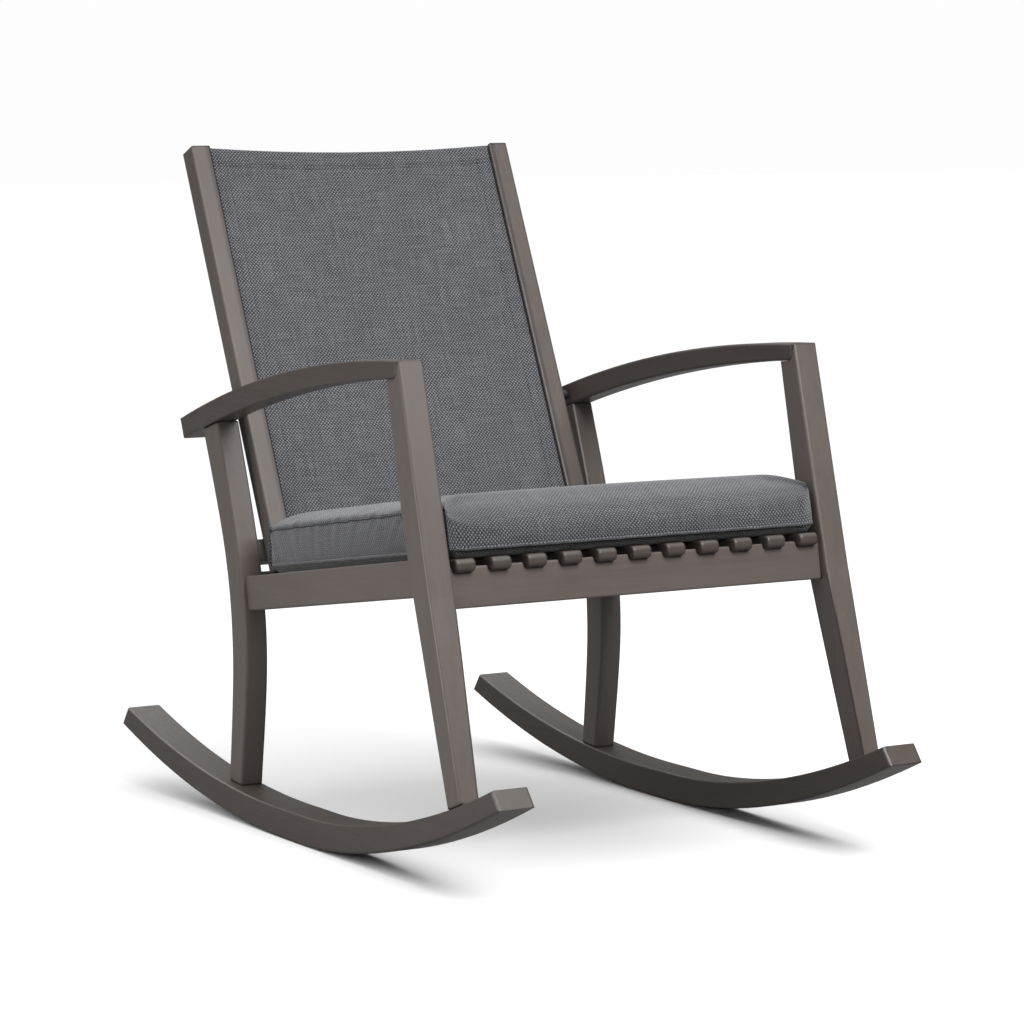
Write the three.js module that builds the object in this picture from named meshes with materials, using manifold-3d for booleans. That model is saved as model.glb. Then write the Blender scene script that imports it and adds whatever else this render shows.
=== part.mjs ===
// A rocking chair: timber frame on two curved rockers, a slatted seat with a loose boxed cushion,
// and a fabric back stretched between two leaning stiles.
// Millimetres, +Z up, the sitter faces -Y. The origin is under the middle of the chair, on the floor.
// "left" and "right" are the sitter's own, so left is +X.
import * as THREE from 'three';
import { mergeVertices } from 'three/addons/utils/BufferGeometryUtils.js';
import Module from 'manifold-3d';

const wasm = await Module();
wasm.setup();

// ---- driving dimensions -------------------------------------------------------------------------

const gap = 0.3;                  // clearance between pieces that seat on each other
const ease = 3;                   // rounding of the long edges of the timber

const frameHalfWidth = 320;       // centre line to the outer faces of the rockers and front legs
const rearNarrowing = 16;         // how far each rear leg stands inside the front leg's outer face
const rearHalfWidth = frameHalfWidth - rearNarrowing;

const rockerReach = 525;          // rocker end to the origin, to the front and to the rear
const rockerWidth = 52;
const rockerDepth = 40;           // vertical, at the contact point
const rockerTipDepth = 31;        // vertical, at both ends
const rockerEndSetback = 18;      // how far each end face leans inwards at its top edge
const contactY = 3;               // the rockers touch the floor here, on a short flat
const contactFlat = 32;
const rockerFrontRise = 129;      // underside of the front tip above the floor
const rockerRearRise = 84;        // underside of the rear tip
const rockerFrontPower = 1.84;    // how fast the underside rises on the way there
const rockerRearPower = 2.03;
const rockerSteps = 22;           // facets of the underside to each side of the flat

const armHeight = 658;            // top of the front legs, where the arms are level with them
const frontLegWidth = 36.5;
const frontLegFootWidth = 25.7;
const frontLegTopY = -282;        // front face at the top
const frontLegTopDepth = 37;
const frontLegKneeY = -359.5;     // front face where the leg steepens
const frontLegKneeZ = 370;
const frontLegFootY = -434;       // front face on the rocker
const frontLegFootDepth = 33;
const frontLegHipY = -299;        // rear face, where its upper and lower lines would meet
const frontLegHipZ = 418;
const frontLegHipEase = 0.24;     // share of each rear line that the bend between them takes up

const rearLegWidth = 33.5;
const rearLegFootY = 184;         // front face on the rocker
const rearLegFootDepth = 35;
const rearLegWaistY = 165.5;      // front face at the leg's foremost point
const rearLegWaistZ = 222;
const rearLegWaistDepth = 42;
const rearLegSeatY = 186;         // front face at seat height
const rearLegSeatZ = 362;
const rearLegSeatDepth = 42;
const rearLegSlope = 0.34;        // rearward run of the upper part for each unit of height
const rearLegTopDepth = 44;

const armTopRadius = 2135;
const armTopStartSlope = 0.037;   // fall for each unit of run, at the front end
const armFrontDepth = 23;
const armUnderRadius = 2390;
const armUnderStartSlope = 0.067;
const armLip = 5;                 // timber left in front of the arm at the leg's top
const armNoseRadius = 12;         // lower front corner of the arm's end
const armRearY = 359;             // rear end, at its top edge
const armRearSetback = 11;
const armTurn = THREE.MathUtils.degToRad(1.3);  // the arms draw in towards the rear

const seatPitch = THREE.MathUtils.degToRad(8.85);
const seatFrontY = -350;          // front of the slats, on the line of the side rails' top edges
const seatFrontZ = 417.4;
const sideRailDepth = 48;
const sideRailThickness = 18;
const sideRailInset = 6;          // outer face behind the outer faces of the legs
const frontRailBottomY = -350;
const frontRailBottomZ = 351;
const frontRailTilt = 0.173;      // rearward run of its faces for each unit of height
const frontRailThickness = 22;
const rearRailY = 184;
const rearRailBottomZ = 291;
const rearRailTopZ = 336;
const rearRailThickness = 22;
const cleatThickness = 22;
const cleatDepth = 18;
const tenonLength = 13;
const tenonThickness = 10;
const tenonShoulder = 9;

const slatCount = 11;
const slatPitch = 52.4;
const slatWidth = 28.5;
const slatThickness = 17;
const slatDrop = 3;               // top of the slats below the side rails' top line
const slatNoseRadius = 7;
const slatRearY = 166;
const slatNotchDepth = 5.5;
const slatNotchFlare = 5;

const backLean = THREE.MathUtils.degToRad(24.2);
const backFootY = 154.5;          // lower front edge of the stiles
const backFootZ = 345;
const stileLength = 624;
const stileWidth = 31;
const stileDepth = 30;
const stileOuterX = 258.5;
const slingThickness = 3;
const slingRecess = 6;            // sling's front face behind the stiles' front faces
const slingFootRise = 16;         // lower edge of the sling above the stiles' lower ends
const slingTopDip = 8;            // how far the top edge sags at mid width
const slingTopDrop = 1.5;
const grooveWidth = 7.4;
const grooveDepth = 9;
const splineRadius = 2.6;
const spreaderRadius = 6;
const spreaderRise = 548;         // from the stiles' lower ends
const lowerRailRise = 22;
const lowerRailHeight = 31;
const lowerRailThickness = 20;

const pinRadius = 4.5;
const pinSeat = 12;               // pin length inside each piece
const armPinSeat = 8;             // inside the arm, short of the rear leg's dowel
const spacerRadius = 6.5;
const dowelRadius = 5;
const dowelSeat = 14;
const blockLeg = 58;              // run of each corner block along the rails
const blockHeight = 16;
const frontBlockRise = 11;        // above the lower edge of the front rail
const rearBlockRise = 9;          // above the lower edge of the rear rail

const cushionHalfWidth = 277;
const cushionLength = 486;
const cushionFront = 8;           // front face behind the slat noses
const cushionEdgeHeight = 54;     // at its rim
const cushionCrown = 27;          // further rise at its middle
const cushionCorner = 12;         // corner radius in plan
const cushionEdge = 6;            // rounding of its edges

// ---- finishes -----------------------------------------------------------------------------------

const timber = { color: 0x6a625f, roughness: 0.5, metalness: 0 };
const fabric = { color: 0x4e5358, roughness: 0.95, metalness: 0 };
const steel = { color: 0x9a9a9a, roughness: 0.35, metalness: 0.9 };
const nylon = { color: 0x202224, roughness: 0.6, metalness: 0 };

const chair = new THREE.Group();

// ---- solids -------------------------------------------------------------------------------------

function solidOf(geometry) {
  const bare = geometry.clone();
  bare.deleteAttribute('normal');
  bare.deleteAttribute('uv');
  const merged = mergeVertices(bare, 1e-4);
  return new wasm.Manifold(new wasm.Mesh({
    numProp: 3,
    vertProperties: new Float32Array(merged.attributes.position.array),
    triVerts: new Uint32Array(merged.index.array),
  }));
}

function geometryOf(solid) {
  const mesh = solid.getMesh();
  const geometry = new THREE.BufferGeometry();
  geometry.setAttribute('position', new THREE.BufferAttribute(new Float32Array(mesh.vertProperties), 3));
  geometry.setIndex(new THREE.BufferAttribute(new Uint32Array(mesh.triVerts), 1));
  geometry.computeVertexNormals();
  return geometry;
}

const cut = (solid, ...tools) => tools.reduce((rest, tool) => rest.subtract(tool), solid);
const join = (solid, ...others) => others.reduce((sum, other) => sum.add(other), solid);
const common = (solid, ...others) => others.reduce((rest, other) => rest.intersect(other), solid);

// The same piece on the other side of the centre line.
function mirrored(geometry) {
  const copy = geometry.clone();
  copy.scale(-1, 1, 1);
  const index = copy.index.array;
  for (let i = 0; i < index.length; i += 3) {
    [index[i + 1], index[i + 2]] = [index[i + 2], index[i + 1]];
  }
  copy.computeVertexNormals();
  return copy;
}

function addPiece(name, solid, finish) {
  const mesh = new THREE.Mesh(geometryOf(solid), new THREE.MeshStandardMaterial(finish));
  mesh.name = name;
  chair.add(mesh);
}

function addPair(name, solid, finish) {
  addPiece(`${name}_left`, solid, finish);
  const twin = new THREE.Mesh(mirrored(geometryOf(solid)), new THREE.MeshStandardMaterial(finish));
  twin.name = `${name}_right`;
  chair.add(twin);
}

// An extrusion whose edges at both end faces are rounded by `round`, inside the outline.
function extruded(shape, depth, matrix, round = 0) {
  const geometry = new THREE.ExtrudeGeometry(shape, {
    depth: depth - 2 * round,
    bevelEnabled: round > 0,
    bevelThickness: round,
    bevelSize: round,
    bevelOffset: -round,
    bevelSegments: 2,
    curveSegments: 5,
  });
  geometry.translate(0, 0, round);
  geometry.applyMatrix4(matrix);
  return solidOf(geometry);
}

const axis = (x, y, z) => new THREE.Vector3(x, y, z);
const shapeOf = (points) => new THREE.Shape(points.map(([u, v]) => new THREE.Vector2(u, v)));

// A polygon with every corner rounded.
function roundedShape(points, radius) {
  const corner = points.map(([u, v]) => new THREE.Vector2(u, v));
  const shape = new THREE.Shape();
  corner.forEach((point, i) => {
    const before = corner[(i + corner.length - 1) % corner.length];
    const after = corner[(i + 1) % corner.length];
    const start = before.clone().sub(point).setLength(radius).add(point);
    const end = after.clone().sub(point).setLength(radius).add(point);
    if (i === 0) {
      shape.moveTo(start.x, start.y);
    } else {
      shape.lineTo(start.x, start.y);
    }
    shape.quadraticCurveTo(point.x, point.y, end.x, end.y);
  });
  return shape;
}

// An outline drawn in (y, z), as thick as x0 to x1.
function sideBoard(shape, x0, x1, round = 0) {
  const matrix = new THREE.Matrix4().makeBasis(axis(0, 1, 0), axis(0, 0, 1), axis(1, 0, 0));
  return extruded(shape, x1 - x0, matrix.setPosition(x0, 0, 0), round);
}

// An outline drawn in (x, z), as thick as y0 to y1.
function frontBoard(shape, y0, y1) {
  const matrix = new THREE.Matrix4().makeBasis(axis(1, 0, 0), axis(0, 0, 1), axis(0, -1, 0));
  return extruded(shape, y1 - y0, matrix.setPosition(0, y1, 0));
}

// An outline drawn in (x, y), as thick as z0 to z1.
function planBoard(shape, z0, z1) {
  return extruded(shape, z1 - z0, new THREE.Matrix4().setPosition(0, 0, z0));
}

function block(x0, x1, y0, y1, z0, z1, matrix = new THREE.Matrix4()) {
  const geometry = new THREE.BoxGeometry(x1 - x0, y1 - y0, z1 - z0);
  geometry.translate((x0 + x1) / 2, (y0 + y1) / 2, (z0 + z1) / 2);
  geometry.applyMatrix4(matrix);
  return solidOf(geometry);
}

// A round bar between two points.
function rod(radius, from, to, sides = 20) {
  const run = to.clone().sub(from);
  const geometry = new THREE.CylinderGeometry(radius, radius, run.length(), sides);
  const turn = new THREE.Quaternion().setFromUnitVectors(axis(0, 1, 0), run.clone().normalize());
  geometry.applyQuaternion(turn);
  geometry.translate((from.x + to.x) / 2, (from.y + to.y) / 2, (from.z + to.z) / 2);
  return solidOf(geometry);
}

function moved(solid, matrix) {
  return solidOf(geometryOf(solid).applyMatrix4(matrix));
}

// The frames of the seat and the back: y runs rearwards along the slats or through the stiles,
// and z is square to the seat or runs up the stiles.
const seatMatrix = new THREE.Matrix4().makeRotationX(-seatPitch).setPosition(0, seatFrontY, seatFrontZ);
const backMatrix = new THREE.Matrix4().makeRotationX(-backLean).setPosition(0, backFootY, backFootZ);
const seatTopAt = (y) => seatFrontZ - (y - seatFrontY) * Math.tan(seatPitch);

// ---- outlines that several pieces share ---------------------------------------------------------

function undersideAt(y) {
  const ahead = y < contactY;
  const span = rockerReach + (ahead ? contactY : -contactY) - contactFlat / 2;
  const run = Math.max(0, Math.abs(y - contactY) - contactFlat / 2);
  return ahead
    ? rockerFrontRise * (run / span) ** rockerFrontPower
    : rockerRearRise * (run / span) ** rockerRearPower;
}

function rockerTopAt(y) {
  return undersideAt(y) + rockerDepth - (rockerDepth - rockerTipDepth) * Math.abs(y - contactY) / rockerReach;
}

const fall = (run, slope, radius) => slope * run + radius - Math.sqrt(radius ** 2 - run ** 2);
const armFrontY = frontLegTopY + armLip + gap;
const armTopAt = (y) => armHeight - fall(y - armFrontY, armTopStartSlope, armTopRadius);
const armUnderAt = (y) => armHeight - armFrontDepth - fall(y - armFrontY, armUnderStartSlope, armUnderRadius);

// Where the outline between two given heights crosses a height.
function crossing(points, z) {
  for (let i = 1; i < points.length; i += 1) {
    const [a, b] = [points[i - 1], points[i]];
    if ((a.y - z) * (b.y - z) <= 0 && a.y !== b.y) {
      return a.x + (b.x - a.x) * (z - a.y) / (b.y - a.y);
    }
  }
  return points[points.length - 1].x;
}

// The front leg's outline, whole; `shift` moves it along y to cut a clearance for it.
const frontLegFootRearY = frontLegFootY + frontLegFootDepth;
const frontLegFootFrontZ = rockerTopAt(frontLegFootY) + gap;
const frontLegFootRearZ = rockerTopAt(frontLegFootRearY) + gap;

function frontLegShape(shift = 0) {
  const topRear = [frontLegTopY + frontLegTopDepth, armHeight];
  const hip = [frontLegHipY, frontLegHipZ];
  const foot = [frontLegFootRearY, frontLegFootRearZ];
  const toward = (from, to) => from.map((value, i) => value + (to[i] - value) * frontLegHipEase);
  const bendEnd = toward(hip, foot);
  const bendStart = toward(hip, topRear);
  const shape = new THREE.Shape();
  shape.moveTo(frontLegTopY + shift, armHeight);
  shape.lineTo(frontLegKneeY + shift, frontLegKneeZ);
  shape.lineTo(frontLegFootY + shift, frontLegFootFrontZ);
  shape.lineTo(foot[0] + shift, foot[1]);
  shape.lineTo(bendEnd[0] + shift, bendEnd[1]);
  shape.quadraticCurveTo(hip[0] + shift, hip[1], bendStart[0] + shift, bendStart[1]);
  shape.lineTo(topRear[0] + shift, topRear[1]);
  return shape;
}

// The rear leg runs from the rocker, through its waist and the seat, to the underside of the arm.
const rearLegTopY = (() => {
  let y = rearLegSeatY;
  for (let i = 0; i < 20; i += 1) {
    y = rearLegSeatY + rearLegSlope * (armUnderAt(y) - 2 * gap - rearLegSeatZ);
  }
  return y;
})();
const rearLegFront = new THREE.SplineCurve([
  new THREE.Vector2(rearLegFootY, rockerTopAt(rearLegFootY) + gap),
  new THREE.Vector2(rearLegWaistY, rearLegWaistZ),
  new THREE.Vector2(rearLegSeatY, rearLegSeatZ),
  new THREE.Vector2(rearLegTopY, armUnderAt(rearLegTopY) - 2 * gap),
]).getPoints(24);
const rearLegBack = new THREE.SplineCurve([
  new THREE.Vector2(rearLegFootY + rearLegFootDepth, rockerTopAt(rearLegFootY + rearLegFootDepth) + gap),
  new THREE.Vector2(rearLegWaistY + rearLegWaistDepth, rearLegWaistZ),
  new THREE.Vector2(rearLegSeatY + rearLegSeatDepth, rearLegSeatZ),
  new THREE.Vector2(rearLegTopY + rearLegTopDepth, armUnderAt(rearLegTopY + rearLegTopDepth) - 2 * gap),
]).getPoints(24);

function rearLegShape(shift = 0) {
  const outline = [...rearLegFront, ...[...rearLegBack].reverse()];
  return new THREE.Shape(outline.map((point) => new THREE.Vector2(point.x + shift, point.y)));
}

const frontLegRear = frontLegShape().getPoints(10);
const frontLegRearAt = (z) => crossing([...frontLegRear].reverse(), z);
const rearLegFrontAt = (z) => crossing(rearLegFront, z);

const frontLegInnerX = frameHalfWidth - frontLegWidth;
const rearLegInnerX = rearHalfWidth - rearLegWidth;
const stileInnerX = stileOuterX - stileWidth;

// ---- seat rails and their tenons ----------------------------------------------------------------

// The side rails draw in towards the rear, between the inset lines of the front and rear legs.
const railFrontOuterX = frameHalfWidth - sideRailInset;
const railRearOuterX = rearHalfWidth - sideRailInset;
const railSlope = (railRearOuterX - railFrontOuterX) / (rearLegWaistY - frontLegHipY);
const railOuterAt = (y) => railFrontOuterX + railSlope * (y - frontLegHipY);
const railInnerAt = (y) => railOuterAt(y) - sideRailThickness * Math.hypot(1, railSlope);

const railOverrun = 12;
const railStartY = frontLegHipY - railOverrun;
const railEndY = rearLegSeatY + railOverrun;

// A strip parallel to the seat between two depths below the side rails' top line.
function seatStrip(y0, y1, high, low) {
  return shapeOf([
    [y0, seatTopAt(y0) - high],
    [y0, seatTopAt(y0) - low],
    [y1, seatTopAt(y1) - low],
    [y1, seatTopAt(y1) - high],
  ]);
}

function tenonStrip(y0, y1, grow) {
  return seatStrip(y0, y1, tenonShoulder - grow, sideRailDepth - tenonShoulder + grow);
}

const frontTenonX = railOuterAt(frontLegHipY) - sideRailThickness / 2;
const rearTenonX = railOuterAt(rearLegWaistY) - sideRailThickness / 2;
const frontTenonY = frontLegRearAt(seatTopAt(frontLegHipY) - sideRailDepth) - tenonLength + 6;
const rearTenonY = rearLegFrontAt(seatTopAt(rearLegSeatY) - sideRailDepth) + tenonLength;

const frontSideTenon = (grow) => sideBoard(
  tenonStrip(frontTenonY - grow, frontLegHipY + tenonLength, grow),
  frontTenonX - tenonThickness / 2 - grow,
  frontTenonX + tenonThickness / 2 + grow,
);
const rearSideTenon = (grow) => sideBoard(
  tenonStrip(rearLegWaistY - tenonLength, rearTenonY + grow, grow),
  rearTenonX - tenonThickness / 2 - grow,
  rearTenonX + tenonThickness / 2 + grow,
);

function sideRail() {
  const strip = seatStrip(railStartY, railEndY, 0, sideRailDepth);
  const turn = new THREE.Matrix4().makeTranslation(railFrontOuterX, frontLegHipY, 0)
    .multiply(new THREE.Matrix4().makeRotationZ(-Math.atan(railSlope)))
    .multiply(new THREE.Matrix4().makeTranslation(0, -frontLegHipY, 0));
  const shouldered = cut(
    moved(sideBoard(strip, -sideRailThickness, 0, ease), turn),
    sideBoard(frontLegShape(gap), frontLegInnerX, frameHalfWidth),
    sideBoard(frontLegShape(-gap - frontLegTopDepth / 2), frontLegInnerX, frameHalfWidth),
    sideBoard(rearLegShape(-gap), rearLegInnerX - sideRailThickness, rearHalfWidth),
    sideBoard(rearLegShape(rearLegTopDepth / 2), rearLegInnerX - sideRailThickness, rearHalfWidth),
  );
  return join(shouldered, frontSideTenon(0), rearSideTenon(0));
}

// The front rail leans with the front legs, and its top edge has a shallow seat for each slat.
const frontRailTopZ = seatTopAt(frontRailBottomY) - slatDrop - slatThickness + slatNotchDepth;
const frontRailFaceAt = (z) => frontRailBottomY + frontRailTilt * (z - frontRailBottomZ);

function frontRailSection(inset) {
  const z0 = frontRailBottomZ + inset;
  const z1 = frontRailTopZ - inset;
  const back = frontRailThickness - inset;
  return [
    [frontRailFaceAt(z0) + inset, z0],
    [frontRailFaceAt(z0) + back, z0],
    [frontRailFaceAt(z1) + back, z1 - frontRailThickness * Math.tan(seatPitch)],
    [frontRailFaceAt(z1) + inset, z1],
  ];
}

const frontRailTenon = (grow) => common(
  sideBoard(shapeOf(frontRailSection(tenonShoulder / 1.5 - grow)),
    frontLegInnerX - tenonLength, frontLegInnerX + tenonLength + grow),
  block(0, frameHalfWidth, frontRailBottomY - rockerWidth, 0,
    frontRailBottomZ + tenonShoulder - grow, frontRailTopZ - tenonShoulder + grow),
);

const slatX = Array.from({ length: slatCount }, (_, i) => (i - (slatCount - 1) / 2) * slatPitch);

function frontRail() {
  const half = frontLegInnerX - gap;
  const notchFloor = -slatDrop - slatThickness - gap;
  const notches = slatX.map((x) => {
    const seatWidth = slatWidth / 2 + gap;
    const outline = shapeOf([
      [x - seatWidth, notchFloor],
      [x + seatWidth, notchFloor],
      [x + seatWidth + slatNotchFlare, notchFloor + slatNotchDepth + slatThickness],
      [x - seatWidth - slatNotchFlare, notchFloor + slatNotchDepth + slatThickness],
    ]);
    return moved(frontBoard(outline, -frontRailThickness, 2 * frontRailThickness), seatMatrix);
  });
  const bar = join(
    sideBoard(roundedShape(frontRailSection(0), ease), -half, half),
    frontRailTenon(0),
    solidOf(mirrored(geometryOf(frontRailTenon(0)))),
  );
  return cut(bar, ...notches);
}

const rearRailTenon = (grow) => block(
  rearLegInnerX - tenonLength, rearLegInnerX + tenonLength + grow,
  rearRailY + tenonShoulder / 1.5 - grow, rearRailY + rearRailThickness - tenonShoulder / 1.5 + grow,
  rearRailBottomZ + tenonShoulder - grow, rearRailTopZ - tenonShoulder + grow,
);

function rearRail() {
  const half = rearLegInnerX - gap;
  return join(
    block(-half, half, rearRailY, rearRailY + rearRailThickness, rearRailBottomZ, rearRailTopZ),
    rearRailTenon(0),
    solidOf(mirrored(geometryOf(rearRailTenon(0)))),
  );
}

// The cleat on the rear rail carries the rear ends of the slats.
function slatCleat() {
  const half = rearLegInnerX - gap;
  const y0 = rearRailY - gap - cleatThickness;
  const drop = (slatDrop + slatThickness + gap) / Math.cos(seatPitch) + gap;
  return sideBoard(seatStrip(y0, rearRailY - gap, drop, drop + cleatDepth), -half, half);
}

// ---- back frame, drawn in its own leaning frame --------------------------------------------------

const lowerRailTenon = (grow) => block(
  rearLegInnerX - tenonLength, rearLegInnerX + tenonLength + grow,
  stileDepth + gap + tenonShoulder / 2 - grow, stileDepth + gap + lowerRailThickness - tenonShoulder / 2 + grow,
  lowerRailRise + tenonShoulder / 2 - grow, lowerRailRise + lowerRailHeight - tenonShoulder / 2 + grow,
  backMatrix,
);

function lowerBackRail() {
  const half = rearLegInnerX - gap;
  const y0 = stileDepth + gap;
  const bar = join(
    block(-half, half, y0, y0 + lowerRailThickness, lowerRailRise, lowerRailRise + lowerRailHeight, backMatrix),
    lowerRailTenon(0),
    solidOf(mirrored(geometryOf(lowerRailTenon(0)))),
  );
  return cut(bar, railPin(gap), solidOf(mirrored(geometryOf(railPin(gap)))));
}

const grooveY = slingRecess + slingThickness / 2;
const inBack = (x, y, z) => axis(x, y, z).applyMatrix4(backMatrix);

// A pin joins each stile to its arm where their centre lines cross in side view, and another
// enters the lower back rail from behind the stile.
const stileFaceAt = (z) => backFootY + (z - backFootZ) * Math.tan(backLean);
const stileCentreAt = (z) => stileFaceAt(z) + stileDepth / 2 / Math.cos(backLean);
const armPinZ = (() => {
  let z = armHeight - armFrontDepth;
  for (let i = 0; i < 20; i += 1) {
    const y = stileCentreAt(z);
    z = (armTopAt(y) + armUnderAt(y)) / 2;
  }
  return z;
})();
const armPinY = stileCentreAt(armPinZ);
const armInset = (armPinY - armFrontY) * Math.tan(armTurn);
const armInnerX = frameHalfWidth - frontLegWidth / Math.cos(armTurn) - armInset;
const armPin = (grow) => rod(
  pinRadius + grow,
  axis(stileOuterX - pinSeat - grow, armPinY, armPinZ),
  axis(armInnerX + armPinSeat + grow, armPinY, armPinZ),
);
const railPinX = stileOuterX - (stileWidth - grooveDepth) / 2;
const railPin = (grow) => rod(
  pinRadius + grow,
  inBack(railPinX, stileDepth - pinSeat - grow, lowerRailRise + lowerRailHeight / 2),
  inBack(railPinX, stileDepth + pinSeat + grow, lowerRailRise + lowerRailHeight / 2),
);

const spreaderY = (grooveY + slingThickness / 2 + stileDepth) / 2 + spreaderRadius / 3;

function stile() {
  return cut(
    moved(sideBoard(shapeOf([[0, 0], [stileDepth, 0], [stileDepth, stileLength], [0, stileLength]]),
      stileInnerX, stileOuterX, ease), backMatrix),
    block(stileInnerX - 1, stileInnerX + grooveDepth, grooveY - grooveWidth / 2, grooveY + grooveWidth / 2,
      slingFootRise - gap, stileLength + 1, backMatrix),
    rod(spreaderRadius + gap, inBack(stileInnerX - 1, spreaderY, spreaderRise),
      inBack(stileInnerX + pinSeat + gap, spreaderY, spreaderRise)),
    armPin(gap),
    railPin(gap),
  );
}

// The sling enters the grooves, and its top edge sags a little between them.
const slingEdgeX = stileInnerX + grooveDepth - 2 * splineRadius - 2 * gap;

function sling() {
  const top = stileLength - slingTopDrop;
  const outline = new THREE.Shape();
  outline.moveTo(-slingEdgeX, slingFootRise);
  outline.lineTo(slingEdgeX, slingFootRise);
  outline.lineTo(slingEdgeX, top);
  outline.lineTo(stileInnerX, top);
  outline.quadraticCurveTo(0, top - 2 * slingTopDip, -stileInnerX, top);
  outline.lineTo(-slingEdgeX, top);
  return moved(frontBoard(outline, slingRecess, slingRecess + slingThickness), backMatrix);
}

// ---- dowels -------------------------------------------------------------------------------------

// A blind dowel joins each end of a leg to the rocker or the arm; `slope` is its rearward lean.
function dowelAt(x, y, z, slope = 0) {
  const joint = axis(x, y, z);
  const up = axis(0, slope, 1).normalize();
  return (grow) => rod(
    dowelRadius + grow,
    joint.clone().addScaledVector(up, -dowelSeat - grow),
    joint.clone().addScaledVector(up, dowelSeat + grow),
  );
}

const frontFootSlope = (frontLegKneeY - frontLegFootY) / (frontLegKneeZ - frontLegFootFrontZ);
const frontFootMiddleY = frontLegFootY + frontLegFootDepth / 2;
const rearFootMiddleY = rearLegFootY + rearLegFootDepth / 2;
const frontDowelY = frontLegTopY + frontLegTopDepth * 0.55;
const rearDowelY = rearLegTopY + rearLegTopDepth / 2;
const rearLegMiddleX = rearHalfWidth - rearLegWidth / 2;
const frontFootDowel = dowelAt(
  frameHalfWidth - frontLegFootWidth / 2, frontFootMiddleY, rockerTopAt(frontFootMiddleY), frontFootSlope);
const rearFootDowel = dowelAt(rearLegMiddleX, rearFootMiddleY, rockerTopAt(rearFootMiddleY));
const frontArmDowel = dowelAt(frameHalfWidth - frontLegWidth / 2, frontDowelY, armUnderAt(frontDowelY));
const rearArmDowel = dowelAt(rearLegMiddleX, rearDowelY, armUnderAt(rearDowelY));

// ---- arms and legs ------------------------------------------------------------------------------

const armSteps = 22;

// The arm's outline; `grow` opens the housing that the front leg holds it in.
function armShape(grow = 0) {
  const noseY = armFrontY - grow;
  const noseEndY = noseY + armNoseRadius;
  const shape = new THREE.Shape();
  shape.moveTo(noseY, armTopAt(armFrontY) + grow);
  shape.lineTo(noseY, armUnderAt(armFrontY) + armNoseRadius);
  shape.quadraticCurveTo(noseY, armUnderAt(armFrontY) - grow, noseEndY, armUnderAt(noseEndY) - grow);
  for (let i = 1; i <= armSteps; i += 1) {
    const y = noseEndY + (armRearY - armRearSetback - noseEndY) * i / armSteps;
    shape.lineTo(y, armUnderAt(y) - grow);
  }
  for (let i = armSteps; i > 0; i -= 1) {
    const y = armFrontY + (armRearY - armFrontY) * i / armSteps;
    shape.lineTo(y, armTopAt(y) + grow);
  }
  return shape;
}

const armMatrix = new THREE.Matrix4().makeTranslation(frameHalfWidth, armFrontY, 0)
  .multiply(new THREE.Matrix4().makeRotationZ(armTurn))
  .multiply(new THREE.Matrix4().makeTranslation(0, -armFrontY, 0));

function arm() {
  const blank = moved(sideBoard(armShape(), -frontLegWidth, 0, ease), armMatrix);
  return cut(blank, frontArmDowel(gap), rearArmDowel(gap), armPin(gap));
}

// Below the seat the inner face of the front leg slants outwards to a slimmer foot.
const frontLegFace = shapeOf([
  [frontLegInnerX, 2 * armHeight],
  [frontLegInnerX, frontLegKneeZ],
  [frameHalfWidth - frontLegFootWidth, frontLegFootRearZ],
  [frameHalfWidth - frontLegFootWidth, 0],
  [frameHalfWidth, 0],
  [frameHalfWidth, 2 * armHeight],
]);

function frontLeg() {
  const blank = common(
    sideBoard(frontLegShape(), frontLegInnerX, frameHalfWidth, ease),
    frontBoard(frontLegFace, -rockerReach, rockerReach),
  );
  const housing = join(
    moved(sideBoard(armShape(gap), -2 * frontLegWidth, frontLegWidth), armMatrix),
    block(frontLegInnerX - 1, frameHalfWidth + 1, armFrontY - gap, 0, armHeight - armNoseRadius, 2 * armHeight),
  );
  return cut(blank, housing, frontArmDowel(gap), frontRailTenon(gap), frontSideTenon(gap), frontFootDowel(gap));
}

function rearLeg() {
  return cut(
    sideBoard(rearLegShape(), rearLegInnerX, rearHalfWidth, ease),
    rearArmDowel(gap),
    rearRailTenon(gap),
    rearSideTenon(gap),
    lowerRailTenon(gap),
    rearFootDowel(gap),
  );
}

function rocker() {
  const under = [];
  for (let i = 0; i <= rockerSteps; i += 1) {
    const reach = rockerReach + contactY - contactFlat / 2;
    under.push(-rockerReach + reach * i / rockerSteps);
  }
  for (let i = 0; i <= rockerSteps; i += 1) {
    const start = contactY + contactFlat / 2;
    under.push(start + (rockerReach - start) * i / rockerSteps);
  }
  const inner = (rockerReach - rockerEndSetback) / rockerReach;
  const outline = [
    ...under.map((y) => [y, undersideAt(y)]),
    ...under.reverse().map((y) => [y * inner, rockerTopAt(y * inner)]),
  ];
  return cut(
    sideBoard(shapeOf(outline), frameHalfWidth - rockerWidth, frameHalfWidth, ease),
    frontFootDowel(gap),
    rearFootDowel(gap),
  );
}

// ---- seat ---------------------------------------------------------------------------------------

function slat(x) {
  const top = -slatDrop;
  const bottom = -slatDrop - slatThickness;
  const end = (slatRearY - seatFrontY) / Math.cos(seatPitch);
  const r = slatNoseRadius;
  const outline = new THREE.Shape();
  outline.moveTo(end, top);
  outline.lineTo(r, top);
  outline.absarc(r, top - r, r, Math.PI / 2, Math.PI, false);
  outline.absarc(r, bottom + r, r, Math.PI, 1.5 * Math.PI, false);
  outline.lineTo(end, bottom);
  return moved(sideBoard(outline, x - slatWidth / 2, x + slatWidth / 2, ease), seatMatrix);
}

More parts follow.
